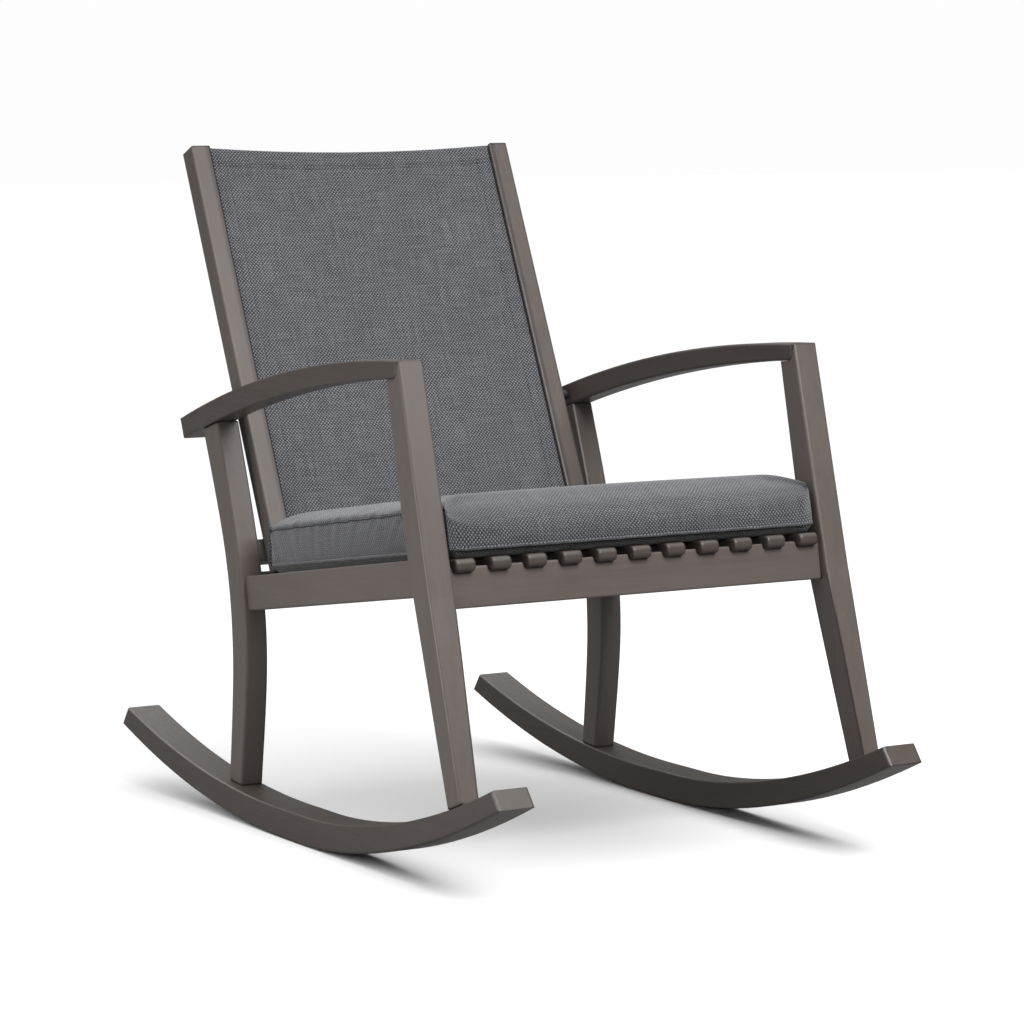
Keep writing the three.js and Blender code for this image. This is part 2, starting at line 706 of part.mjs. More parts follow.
// Corner blocks brace the rails behind the front legs and ahead of the rear legs.
function cornerBlock(railFaceY, toward, z0) {
  const inner = railInnerAt(railFaceY + toward * blockLeg / 2) - gap - 2;
  const plan = shapeOf(toward > 0
    ? [[inner - blockLeg, railFaceY], [inner, railFaceY], [inner, railFaceY + blockLeg]]
    : [[inner, railFaceY - blockLeg], [inner, railFaceY], [inner - blockLeg, railFaceY]]);
  const legTool = toward > 0
    ? sideBoard(frontLegShape(gap), frontLegInnerX - gap, frameHalfWidth)
    : sideBoard(rearLegShape(-gap), rearLegInnerX - gap, rearHalfWidth);
  return cut(planBoard(plan, z0, z0 + blockHeight), legTool);
}

const frontBlockZ = frontRailBottomZ + frontBlockRise;
const frontBlockY = frontRailFaceAt(frontBlockZ + blockHeight) + frontRailThickness + 2 * gap;
const rearBlockZ = rearRailBottomZ + rearBlockRise;

// The lower half of both of the cushion's sections, from its left or front edge to the other edge.
function cushionBase(u0, u1) {
  const shape = new THREE.Shape();
  shape.moveTo(u0 + cushionEdge, 0);
  shape.lineTo(u1 - cushionEdge, 0);
  shape.quadraticCurveTo(u1, 0, u1, cushionEdge);
  shape.lineTo(u1, cushionEdgeHeight - cushionEdge);
  shape.quadraticCurveTo(u1, cushionEdgeHeight, u1 - cushionEdge, cushionEdgeHeight);
  return shape;
}

// Seen from the front the top rises steeply from the seams and is nearly flat between.
function cushionFrontSection(u0, u1) {
  const rim = cushionEdgeHeight;
  const steep = cushionEdge + cushionCrown;
  const top = rim + cushionCrown;
  const shape = cushionBase(u0, u1);
  shape.quadraticCurveTo(u1 - cushionEdge, top - cushionEdge, u1 - steep, top - cushionEdge);
  shape.quadraticCurveTo((u0 + u1) / 2, top + cushionEdge, u0 + steep, top - cushionEdge);
  shape.quadraticCurveTo(u0 + cushionEdge, top - cushionEdge, u0 + cushionEdge, rim);
  shape.quadraticCurveTo(u0, rim, u0, rim - cushionEdge);
  shape.lineTo(u0, cushionEdge);
  shape.quadraticCurveTo(u0, 0, u0 + cushionEdge, 0);
  return shape;
}

// Seen from the side the top rolls over into the front without a seam.
function cushionSideSection(u0, u1) {
  const rim = cushionEdgeHeight;
  const top = rim + cushionCrown;
  const along = (share) => u0 + (u1 - u0) * share;
  const shape = cushionBase(u0, u1);
  shape.bezierCurveTo(u1 - cushionEdge, top, along(0.9), top, along(0.6), top);
  shape.lineTo(along(0.2), top);
  shape.bezierCurveTo(along(0.08), top, u0, top - cushionEdge / 2, u0, top / 2);
  shape.lineTo(u0, cushionEdge);
  shape.quadraticCurveTo(u0, 0, u0 + cushionEdge, 0);
  return shape;
}

function cushion() {
  const w = cushionHalfWidth;
  const front = cushionFront;
  const rear = cushionFront + cushionLength;
  const plan = roundedShape([[-w, front], [w, front], [w, rear], [-w, rear]], cushionCorner);
  const body = common(
    planBoard(plan, 0, cushionEdgeHeight + 2 * cushionCrown),
    frontBoard(cushionFrontSection(-w, w), front - 1, rear + 1),
    sideBoard(cushionSideSection(front, rear), -w - 1, w + 1),
  );
  return moved(body.translate(0, 0, gap - slatDrop), seatMatrix);
}

// ---- assembly -----------------------------------------------------------------------------------

addPair('rocker', rocker(), timber);
addPair('front_leg', frontLeg(), timber);
addPair('rear_leg', rearLeg(), timber);
addPair('arm', arm(), timber);
addPair('side_rail', sideRail(), timber);
addPiece('front_rail', frontRail(), timber);
addPiece('rear_rail', rearRail(), timber);
addPiece('slat_cleat', slatCleat(), timber);
slatX.forEach((x, i) => addPiece(`seat_slat_${String(i + 1).padStart(2, '0')}`, slat(x), timber));
addPair('corner_block_front', cornerBlock(frontBlockY, 1, frontBlockZ), timber);
addPair('corner_block_rear', cornerBlock(rearRailY - 2 * gap - cleatThickness, -1, rearBlockZ), timber);

addPair('back_stile', stile(), timber);
addPiece('lower_back_rail', lowerBackRail(), timber);
addPiece('spreader_bar', rod(spreaderRadius, inBack(-stileInnerX - pinSeat, spreaderY, spreaderRise),
  inBack(stileInnerX + pinSeat, spreaderY, spreaderRise), 24), steel);
addPiece('back_sling', sling(), fabric);
const splineX = stileInnerX + grooveDepth - splineRadius - gap;
addPair('sling_spline', rod(splineRadius, inBack(splineX, grooveY, slingFootRise),
  inBack(splineX, grooveY, stileLength - slingTopDrop), 12), nylon);

addPair('arm_pin', armPin(0), steel);
addPair('rail_pin', railPin(0), steel);
addPair('arm_pin_spacer', cut(
  rod(spacerRadius, axis(stileOuterX + gap, armPinY, armPinZ), axis(armInnerX - gap, armPinY, armPinZ)),
  armPin(gap),
), nylon);
addPair('arm_dowel_front', frontArmDowel(0), timber);
addPair('arm_dowel_rear', rearArmDowel(0), timber);
addPair('rocker_dowel_front', frontFootDowel(0), timber);
addPair('rocker_dowel_rear', rearFootDowel(0), timber);

addPiece('seat_cushion', cushion(), fabric);

export default chair;
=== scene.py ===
import math

import bmesh
import bpy
import numpy as np
from mathutils import Euler, Matrix, Vector


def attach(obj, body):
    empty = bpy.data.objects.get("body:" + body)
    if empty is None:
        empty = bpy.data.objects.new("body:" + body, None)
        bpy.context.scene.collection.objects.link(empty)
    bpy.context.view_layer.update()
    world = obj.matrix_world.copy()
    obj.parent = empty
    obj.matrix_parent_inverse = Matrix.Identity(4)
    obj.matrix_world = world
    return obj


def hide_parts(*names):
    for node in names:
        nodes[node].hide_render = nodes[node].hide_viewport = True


# Rocking chair: the CAD's painted timber frame, with a stretched fabric back and a loose cushion made here.
# Metres, +Z up, the sitter faces -Y.

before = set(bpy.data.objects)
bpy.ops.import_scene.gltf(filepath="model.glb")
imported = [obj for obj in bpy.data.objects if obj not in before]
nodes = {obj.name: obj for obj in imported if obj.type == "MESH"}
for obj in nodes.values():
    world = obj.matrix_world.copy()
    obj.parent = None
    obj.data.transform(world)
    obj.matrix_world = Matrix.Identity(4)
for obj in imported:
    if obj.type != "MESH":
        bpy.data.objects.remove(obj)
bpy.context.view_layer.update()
print("frame loaded:", len(nodes), "nodes")

# camera, floor and lights

view = {"place": (-2.631, -4.349, 1.0006), "tilt": 83.514, "turn": -31.347, "lens": 132.5, "sensor": 36.0}

cameraData = bpy.data.cameras.new("camera")
cameraData.lens = view["lens"]
cameraData.sensor_width = view["sensor"]
cameraData.clip_end = 200.0
camera = bpy.data.objects.new("camera", cameraData)
camera.location = view["place"]
camera.rotation_euler = Euler((math.radians(view["tilt"]), 0.0, math.radians(view["turn"])))
bpy.context.scene.collection.objects.link(camera)
bpy.context.scene.camera = camera
bpy.context.scene.view_settings.view_transform = "Standard"

studio = {
    "floorSize": 60.0,
    "floorDrop": 0.0004,        # the floor lies this far below the rockers
    "floorColour": (0.84, 0.84, 0.84, 1.0),
    "floorBounce": (0.22, 0.22, 0.22, 1.0),    # what the floor sends back to the chair
    "backdrop": 0.985,          # how bright the world looks to the camera
    "ambient": 0.09,            # and how bright it is as a light
}
sun = {"from": (-0.15, 0.20, 1.0), "angle": 100.0, "strength": 3.8}
lamps = {                       # place, aim, size, watts
    "leftCard": ((-1.15, -0.20, 0.40), (0.0, 0.0, 0.42), 0.5, 3.6),
    "frontTop": ((0.2, -2.5, 2.5), (0.0, 0.1, 0.6), 1.6, 95.0),
}


def newMaterial(name):
    material = bpy.data.materials.new(name)
    material.use_nodes = True
    tree = material.node_tree
    return material, tree, tree.nodes["Principled BSDF"]


def makeFloor():
    half = studio["floorSize"] / 2
    corners = np.array([[-half, -half, 0], [half, -half, 0], [half, half, 0], [-half, half, 0]])
    mesh = bpy.data.meshes.new("floor")
    mesh.from_pydata(corners.tolist(), [], [(0, 1, 2, 3)])
    floor = bpy.data.objects.new("floor", mesh)
    bpy.context.scene.collection.objects.link(floor)
    floor.location.z = -studio["floorDrop"]
    material, tree, shader = newMaterial("floor")
    seen = tree.nodes.new("ShaderNodeLightPath").outputs["Is Camera Ray"]
    tone = tree.nodes.new("ShaderNodeMix")
    tone.data_type = "RGBA"
    tone.inputs[6].default_value = studio["floorBounce"]
    tone.inputs[7].default_value = studio["floorColour"]
    tree.links.new(seen, tone.inputs[0])
    tree.links.new(tone.outputs[2], shader.inputs["Base Color"])
    shader.inputs["Roughness"].default_value = 0.9
    shader.inputs["Specular IOR Level"].default_value = 0.1
    mesh.materials.append(material)


def makeWorld():
    world = bpy.data.worlds.new("studio")
    world.use_nodes = True
    tree = world.node_tree
    seen = tree.nodes.new("ShaderNodeLightPath").outputs["Is Camera Ray"]
    strength = tree.nodes.new("ShaderNodeMapRange")
    strength.inputs["To Min"].default_value = studio["ambient"]
    strength.inputs["To Max"].default_value = studio["backdrop"]
    tree.links.new(seen, strength.inputs["Value"])
    background = tree.nodes["Background"]
    background.inputs["Color"].default_value = (1.0, 1.0, 1.0, 1.0)
    tree.links.new(strength.outputs["Result"], background.inputs["Strength"])
    bpy.context.scene.world = world


def aimed(name, data, place, aim):
    lamp = bpy.data.objects.new(name, data)
    lamp.location = place
    lamp.rotation_euler = (Vector(aim) - Vector(place)).to_track_quat("-Z", "Y").to_euler()
    bpy.context.scene.collection.objects.link(lamp)
    return lamp


def makeLights():
    data = bpy.data.lights.new("sun", "SUN")
    data.angle = math.radians(sun["angle"])
    data.energy = sun["strength"]
    aimed("sun", data, sun["from"], (0.0, 0.0, 0.0))
    for name, (place, aim, size, watts) in lamps.items():
        data = bpy.data.lights.new(name, "AREA")
        data.shape = "SQUARE"
        data.size = size
        data.energy = watts
        aimed(name, data, place, aim).visible_camera = False


makeFloor()
makeWorld()
makeLights()
print("camera and studio ready")

# node helpers


def link(tree, source, target):
    tree.links.new(source, target)


def mathNode(tree, operation, first, second=None, third=None, clamp=False):
    node = tree.nodes.new("ShaderNodeMath")
    node.operation = operation
    node.use_clamp = clamp
    for i, value in enumerate((first, second, third)):
        if value is None:
            continue
        if isinstance(value, (int, float)):
            node.inputs[i].default_value = value
        else:
            link(tree, value, node.inputs[i])
    return node.outputs[0]


def vectorMath(tree, operation, first, second):
    node = tree.nodes.new("ShaderNodeVectorMath")
    node.operation = operation
    for i, value in enumerate((first, second)):
        if isinstance(value, (tuple, list)):
            node.inputs[i].default_value = value
        else:
            link(tree, value, node.inputs[i])
    return node.outputs["Value"] if operation in ("DOT_PRODUCT", "LENGTH") else node.outputs[0]


def noiseNode(tree, vector, scale, detail=2.0, roughness=0.5):
    node = tree.nodes.new("ShaderNodeTexNoise")
    node.inputs["Scale"].default_value = scale
    node.inputs["Detail"].default_value = detail
    node.inputs["Roughness"].default_value = roughness
    link(tree, vector, node.inputs["Vector"])
    return node


def rangeNode(tree, value, low, high, toLow=0.0, toHigh=1.0, smooth=True):
    node = tree.nodes.new("ShaderNodeMapRange")
    node.interpolation_type = "SMOOTHSTEP" if smooth else "LINEAR"
    link(tree, value, node.inputs["Value"])
    for name, setting in (("From Min", low), ("From Max", high), ("To Min", toLow), ("To Max", toHigh)):
        node.inputs[name].default_value = setting
    return node.outputs["Result"]


def mixColours(tree, factor, first, second):
    node = tree.nodes.new("ShaderNodeMix")
    node.data_type = "RGBA"
    for socket, value in ((node.inputs[0], factor), (node.inputs[6], first), (node.inputs[7], second)):
        if isinstance(value, (int, float, tuple)):
            socket.default_value = value
        else:
            link(tree, value, socket)
    return node.outputs[2]


def newGroup(name, inputs, outputs):
    tree = bpy.data.node_groups.new(name, "ShaderNodeTree")
    for direction, sockets in (("INPUT", inputs), ("OUTPUT", outputs)):
        for label, socketType, *default in sockets:
            socket = tree.interface.new_socket(name=label, in_out=direction, socket_type=socketType)
            if default:
                socket.default_value = default[0]
    start = tree.nodes.new("NodeGroupInput")
    end = tree.nodes.new("NodeGroupOutput")
    return tree, start, end


def addGroup(tree, group, **values):
    node = tree.nodes.new("ShaderNodeGroup")
    node.node_tree = group
    for label, value in values.items():
        node.inputs[label].default_value = value
    return node


def objectCoordinates(tree):
    return tree.nodes.new("ShaderNodeTexCoord").outputs["Object"]


def mapped(tree, vector, scale):
    node = tree.nodes.new("ShaderNodeMapping")
    node.inputs["Scale"].default_value = scale
    link(tree, vector, node.inputs["Vector"])
    return node.outputs[0]


# painted timber

paint = {
    "colour": (0.112, 0.094, 0.084, 1.0),
    "shade": (0.099, 0.082, 0.073, 1.0),     # thinner coat, where the brush left less
    "deepColour": (0.064, 0.052, 0.045, 1.0),
    "deepShade": (0.056, 0.045, 0.038, 1.0),
    "paintedEdgeReflection": (0.022, 0.016, 0.013, 1.0),  # painted dark reflection: the arrises are darkened as if their rounding mirrored something dark
    "edgeWidth": 0.0022,
    "lineDepth": 0.0045,
    "paintedReflectionRange": (0.50, 0.66),       # openness behind the surface at which the painted reflection line is full, and gone
    "uprightPaintedReflectionRange": (0.68, 0.80),
    "paintedEdgeReflectionStrength": 0.85,
    "roughness": 0.40,
    "coat": 0.12,
    "grainLong": 0.05,               # stretch of the grain along the board
}


def makeArrisGroup():
    # mask: 1 along the arrises, where little timber lies behind the surface; it places the painted dark
    # reflection
    tree, start, end = newGroup(
        "arrisMask",
        [("Low", "NodeSocketFloat"), ("High", "NodeSocketFloat")],
        [("Mask", "NodeSocketFloat"), ("Normal", "NodeSocketVector")],
    )
    bevel = tree.nodes.new("ShaderNodeBevel")
    bevel.samples = 4
    bevel.inputs["Radius"].default_value = paint["edgeWidth"]
    depth = tree.nodes.new("ShaderNodeAmbientOcclusion")
    depth.inside = True
    depth.only_local = True
    depth.samples = 8
    depth.inputs["Distance"].default_value = paint["lineDepth"]
    node = tree.nodes.new("ShaderNodeMapRange")
    node.interpolation_type = "SMOOTHSTEP"
    node.inputs["To Min"].default_value = 1.0
    node.inputs["To Max"].default_value = 0.0
    link(tree, depth.outputs["AO"], node.inputs["Value"])
    link(tree, start.outputs["Low"], node.inputs["From Min"])
    link(tree, start.outputs["High"], node.inputs["From Max"])
    link(tree, node.outputs["Result"], end.inputs["Mask"])
    link(tree, bevel.outputs[0], end.inputs["Normal"])
    return tree


def makeGrainGroup():
    # closed-pore grain under paint: long noise along one axis for the height, broad noise for the coat
    tree, start, end = newGroup(
        "grainUnderPaint",
        [("Vector", "NodeSocketVector")],
        [("Height", "NodeSocketFloat"), ("Coat", "NodeSocketFloat"), ("Fine", "NodeSocketFloat")],
    )
    along = start.outputs["Vector"]
    pores = noiseNode(tree, along, 900.0, 3.0, 0.6)
    broad = noiseNode(tree, along, 60.0, 2.0, 0.5)
    fine = noiseNode(tree, along, 260.0, 2.0, 0.5)
    height = mathNode(tree, "MULTIPLY_ADD", pores.outputs["Fac"], 0.4, broad.outputs["Fac"])
    link(tree, height, end.inputs["Height"])
    link(tree, rangeNode(tree, broad.outputs["Fac"], 0.35, 0.65), end.inputs["Coat"])
    link(tree, rangeNode(tree, fine.outputs["Fac"], 0.3, 0.7), end.inputs["Fine"])
    return tree


arrisGroup = makeArrisGroup()
grainGroup = makeGrainGroup()


def makePaintedTimber(name, along, colour="colour", shade="shade", paintedReflectionRange="paintedReflectionRange"):
    # `along` is the axis of the board's length
    stretch = [1.0, 1.0, 1.0]
    stretch[along] = paint["grainLong"]
    colour, shade = paint[colour], paint[shade]
    low, high = paint[paintedReflectionRange]
    material, tree, shader = newMaterial(name)
    arris = addGroup(tree, arrisGroup, Low=low, High=high)
    grain = addGroup(tree, grainGroup)
    link(tree, mapped(tree, objectCoordinates(tree), stretch), grain.inputs["Vector"])
    blotch = noiseNode(tree, objectCoordinates(tree), 6.0, 2.0)
    coat = mixColours(tree, grain.outputs["Coat"], colour, shade)
    patches = rangeNode(tree, blotch.outputs["Fac"], 0.3, 0.7, 0.25, 0.75)
    evened = mixColours(tree, patches, coat, colour)
    # painted reflection: a dark line mixed into the paint colour along the arrises
    edge = mathNode(tree, "MULTIPLY", arris.outputs["Mask"], paint["paintedEdgeReflectionStrength"])
    withPaintedReflection = mixColours(tree, edge, evened, paint["paintedEdgeReflection"])
    link(tree, withPaintedReflection, shader.inputs["Base Color"])
    smoothest, roughest = paint["roughness"] - 0.04, paint["roughness"] + 0.05
    rough = rangeNode(tree, grain.outputs["Fine"], 0.0, 1.0, smoothest, roughest)
    link(tree, rough, shader.inputs["Roughness"])
    shader.inputs["Coat Weight"].default_value = paint["coat"]
    shader.inputs["Coat Roughness"].default_value = 0.3
    bump = tree.nodes.new("ShaderNodeBump")
    bump.inputs["Strength"].default_value = 0.12
    bump.inputs["Distance"].default_value = 0.0004
    link(tree, grain.outputs["Height"], bump.inputs["Height"])
    link(tree, arris.outputs["Normal"], bump.inputs["Normal"])
    link(tree, bump.outputs["Normal"], shader.inputs["Normal"])
    return material


timberAlongX = makePaintedTimber("painted_timber_across", 0)
timberAlongY = makePaintedTimber("painted_timber_fore_aft", 1)
timberAlongZ = makePaintedTimber("painted_timber_upright", 2, paintedReflectionRange="uprightPaintedReflectionRange")
timberDeep = makePaintedTimber("painted_timber_deep", 1, "deepColour", "deepShade")

# hidden fittings


def makeZincPlate():
    material, tree, shader = newMaterial("zinc_plate")
    spangle = tree.nodes.new("ShaderNodeTexVoronoi")
    spangle.inputs["Scale"].default_value = 700.0
    link(tree, objectCoordinates(tree), spangle.inputs["Vector"])
    tone = mixColours(tree, spangle.outputs["Distance"], (0.55, 0.56, 0.58, 1.0), (0.35, 0.36, 0.38, 1.0))
    link(tree, tone, shader.inputs["Base Color"])
    shader.inputs["Metallic"].default_value = 0.95
    link(tree, rangeNode(tree, spangle.outputs["Distance"], 0.0, 0.8, 0.28, 0.45), shader.inputs["Roughness"])
    return material


def makeBlackNylon():
    material, tree, shader = newMaterial("black_nylon")
    grainy = noiseNode(tree, objectCoordinates(tree), 900.0, 2.0)
    tone = mixColours(tree, grainy.outputs["Fac"], (0.012, 0.012, 0.013, 1.0), (0.022, 0.022, 0.023, 1.0))
    link(tree, tone, shader.inputs["Base Color"])
    shader.inputs["Roughness"].default_value = 0.55
    bump = tree.nodes.new("ShaderNodeBump")
    bump.inputs["Strength"].default_value = 0.15
    bump.inputs["Distance"].default_value = 0.0002
    link(tree, grainy.outputs["Fac"], bump.inputs["Height"])
    link(tree, bump.outputs["Normal"], shader.inputs["Normal"])
    return material


zincPlate = makeZincPlate()
blackNylon = makeBlackNylon()


def finishFor(name):
    if name.startswith(("spreader", "rail_pin")) or name in ("arm_pin_left", "arm_pin_right"):
        return zincPlate
    if name.startswith(("sling_spline", "arm_pin_spacer")):
        return blackNylon
    if name.startswith(("front_rail", "rear_rail", "slat_cleat", "lower_back", "corner_block")):
        return timberAlongX
    if name.startswith(("rocker_left", "rocker_right", "arm_left", "arm_right", "seat_slat")):
        return timberDeep
    if name.startswith("side_rail"):
        return timberAlongY
    return timberAlongZ


for name, node in nodes.items():
    node.data.materials.clear()
    node.data.materials.append(finishFor(name))
print("timber and fittings finished")

# woven fabric

weave = {"cell": 0.0026, "slubLength": 0.05, "relief": 0.0009}


def makeWeaveGroup():
    # plain weave on the piece's UV in metres: sin(u) * sin(v) is above 0 where the warp is on top
    tree, start, end = newGroup(
        "plainWeave",
        [("Vector", "NodeSocketVector"), ("Light", "NodeSocketColor"), ("Dark", "NodeSocketColor")],
        [("Colour", "NodeSocketColor"), ("Height", "NodeSocketFloat"), ("Roughness", "NodeSocketFloat")],
    )
    uv = start.outputs["Vector"]
    wander = noiseNode(tree, uv, 45.0, 2.0)
    drift = vectorMath(tree, "SCALE", wander.outputs["Color"], (0, 0, 0))
    drift.node.inputs["Scale"].default_value = weave["cell"] * 1.6
    cloth = vectorMath(tree, "ADD", uv, drift)
    parts = tree.nodes.new("ShaderNodeSeparateXYZ")
    link(tree, cloth, parts.inputs[0])
    turn = math.pi / weave["cell"]
    across = mathNode(tree, "SINE", mathNode(tree, "MULTIPLY", parts.outputs["X"], turn))
    along = mathNode(tree, "SINE", mathNode(tree, "MULTIPLY", parts.outputs["Y"], turn))
    over = mathNode(tree, "MULTIPLY", across, along)
    warpTop = rangeNode(tree, over, -0.35, 0.75)
    fine, long = 1.0 / weave["cell"], 1.0 / weave["slubLength"]
    warpSlub = noiseNode(tree, mapped(tree, uv, (fine, long, 1.0)), 1.0, 2.0)
    weftSlub = noiseNode(tree, mapped(tree, uv, (long, fine, 1.0)), 1.0, 2.0)
    slub = mathNode(tree, "ADD", warpSlub.outputs["Fac"], weftSlub.outputs["Fac"])
    tone = mathNode(tree, "ADD", warpTop, rangeNode(tree, slub, 0.7, 1.3, -0.22, 0.22, smooth=False))
    colour = mixColours(tree, mathNode(tree, "MULTIPLY", tone, 1.0, clamp=True),
                        start.outputs["Dark"], start.outputs["Light"])
    fuzz = noiseNode(tree, uv, 2400.0, 2.0)
    height = mathNode(tree, "ADD", mathNode(tree, "ABSOLUTE", over), mathNode(tree, "MULTIPLY", warpTop, 0.5))
    height = mathNode(tree, "MULTIPLY_ADD", fuzz.outputs["Fac"], 0.25, height)
    link(tree, colour, end.inputs["Colour"])
    link(tree, height, end.inputs["Height"])
    link(tree, rangeNode(tree, fuzz.outputs["Fac"], 0.2, 0.8, 0.82, 0.98), end.inputs["Roughness"])
    return tree


weaveGroup = makeWeaveGroup()
clothUv = "cloth"


def makeCloth(name, light, dark):
    light, dark = clothTones[light], clothTones[dark]
    material, tree, shader = newMaterial(name)
    uv = tree.nodes.new("ShaderNodeUVMap")
    uv.uv_map = clothUv
    cloth = addGroup(tree, weaveGroup, Light=light, Dark=dark)
    link(tree, uv.outputs[0], cloth.inputs["Vector"])
    shade = noiseNode(tree, objectCoordinates(tree), 9.0, 2.0)
    toned = mixColours(tree, rangeNode(tree, shade.outputs["Fac"], 0.35, 0.65, 0.0, 0.12),
                       cloth.outputs["Colour"], dark)
    link(tree, toned, shader.inputs["Base Color"])
    link(tree, cloth.outputs["Roughness"], shader.inputs["Roughness"])
    shader.inputs["Specular IOR Level"].default_value = 0.25
    shader.inputs["Sheen Weight"].default_value = 0.5
    shader.inputs["Sheen Roughness"].default_value = 0.45
    bump = tree.nodes.new("ShaderNodeBump")
    bump.inputs["Strength"].default_value = 0.8
    bump.inputs["Distance"].default_value = weave["relief"]
    link(tree, cloth.outputs["Height"], bump.inputs["Height"])
    link(tree, bump.outputs["Normal"], shader.inputs["Normal"])
    return material


clothTones = {
    "light": (0.245, 0.250, 0.268, 1.0),
    "dark": (0.026, 0.027, 0.031, 1.0),
    "cushionLight": (0.185, 0.190, 0.206, 1.0),
    "cushionDark": (0.015, 0.016, 0.019, 1.0),
    # painted shade: the cushion's underside in near black, for the shadow beneath the welt
    "paintedShadeUnderLight": (0.006, 0.006, 0.007, 1.0),
    "paintedShadeUnderDark": (0.003, 0.003, 0.003, 1.0),
}
slingCloth = makeCloth("sling_cloth", "light", "dark")
cushionCloth = makeCloth("cushion_cloth", "cushionLight", "cushionDark")
paintedShadeUnderside = makeCloth("cushion_underside_painted_shade", "paintedShadeUnderLight", "paintedShadeUnderDark")


def makeThread():
    # thread colour for the back's stitches; the same near black also paints the shade line along the cushion's
    # top seam
    material, tree, shader = newMaterial("sewing_thread_and_seam_shade")
    twist = noiseNode(tree, objectCoordinates(tree), 1500.0, 2.0)
    tone = mixColours(tree, twist.outputs["Fac"], (0.014, 0.014, 0.016, 1.0), (0.035, 0.036, 0.04, 1.0))
    link(tree, tone, shader.inputs["Base Color"])
    shader.inputs["Roughness"].default_value = 0.7
    return material


threadAndSeamShade = makeThread()

# mesh helpers


def quadCorners(grid):
    # the four neighbours round each cell of a grid, in order
    return grid[:-1, :-1], grid[:-1, 1:], grid[1:, 1:], grid[1:, :-1]


def gridMesh(name, points, uv, closedU=False, closedV=False, caps=False):
    # points is rows x columns x 3; quads join neighbours, and caps close the first and last row
    rows, columns = points.shape[:2]
    index = np.arange(rows * columns).reshape(rows, columns)
    if closedV:
        index = np.concatenate([index, index[:, :1]], axis=1)
    if closedU:
        index = np.concatenate([index, index[:1]], axis=0)
    faces = np.stack(quadCorners(index), axis=-1).reshape(-1, 4).tolist()
    if caps:
        faces.append(np.arange(columns)[::-1].tolist())
        faces.append((np.arange(columns) + (rows - 1) * columns).tolist())
    mesh = bpy.data.meshes.new(name)
    mesh.from_pydata(points.reshape(-1, 3).tolist(), [], faces)
    setUv(mesh, uv.reshape(-1, 2))
    mesh.polygons.foreach_set("use_smooth", np.ones(len(mesh.polygons), bool))
    mesh.update()
    return mesh


def setUv(mesh, perVertex):
    corner = np.zeros(len(mesh.loops), np.int32)
    mesh.loops.foreach_get("vertex_index", corner)
    layer = mesh.uv_layers.new(name=clothUv)
    layer.data.foreach_set("uv", perVertex[corner].astype(np.float32).ravel())


def addObject(name, mesh, material):
    piece = bpy.data.objects.new(name, mesh)
    bpy.context.scene.collection.objects.link(piece)
    mesh.materials.append(material)
    return piece


def coordinates(mesh):
    flat = np.zeros(len(mesh.vertices) * 3, np.float32)
    mesh.vertices.foreach_get("co", flat)
    return flat.reshape(-1, 3).astype(float)


def putCoordinates(mesh, points):
    mesh.vertices.foreach_set("co", points.astype(np.float32).ravel())
    mesh.update()


def intoWorld(points, matrix):
    m = np.array(matrix)
    return points @ m[:3, :3].T + m[:3, 3]


def arcLengths(line):
    return np.concatenate([[0], np.cumsum(np.linalg.norm(np.diff(line, axis=0), axis=1))])


def tubeMesh(name, path, radius, sides, closed=False):
    # a circle of `sides` points carried square to the path
    ahead = np.roll(path, -1, axis=0) - np.roll(path, 1, axis=0)
    if not closed:
        ahead[0] = path[1] - path[0]
        ahead[-1] = path[-1] - path[-2]
    ahead /= np.linalg.norm(ahead, axis=1, keepdims=True)
    up = np.tile(np.array([0.03, 0.02, 1.0]), (len(path), 1))
    side = np.cross(ahead, up)
    side /= np.linalg.norm(side, axis=1, keepdims=True)
    up = np.cross(side, ahead)
    angle = np.linspace(0, 2 * math.pi, sides, endpoint=False)
    ring = np.cos(angle)[None, :, None] * side[:, None] + np.sin(angle)[None, :, None] * up[:, None]
    points = path[:, None] + radius * ring
    uv = np.stack(np.broadcast_arrays(arcLengths(path)[:, None], (angle * radius)[None, :]), axis=-1)
    return gridMesh(name, points, uv, closedU=closed, closedV=True, caps=not closed)


# stretched fabric back, drawn in the frame of the leaning stiles

back = {
    "foot": (0.0, 0.1545, 0.345),
    "lean": 24.2,
    "height": 0.624,        # of the stiles
    "edgeX": 0.2306,        # the cloth's edge, in the grooves
    "face": 0.0066,         # front of the cloth behind the stiles' fronts
    "thickness": 0.0018,
    "footRise": 0.0165,
    "topDrop": 0.0022,
    "topDip": 0.0082,
    "belly": 0.0045,        # how far the cloth gives rearwards at mid width
    "hem": 0.022,
    "sideHem": 0.025,
    "hemProud": 0.0007,
    "seamSpread": 0.0025,   # each of the top hem's two seams to the hem's line
    "seamDepth": 0.0007,
    "grid": (150, 116),
}
backMatrix = Matrix.Translation(back["foot"]) @ Matrix.Rotation(-math.radians(back["lean"]), 4, "X")


topSeams = (back["hem"] - back["seamSpread"], back["hem"] + back["seamSpread"])


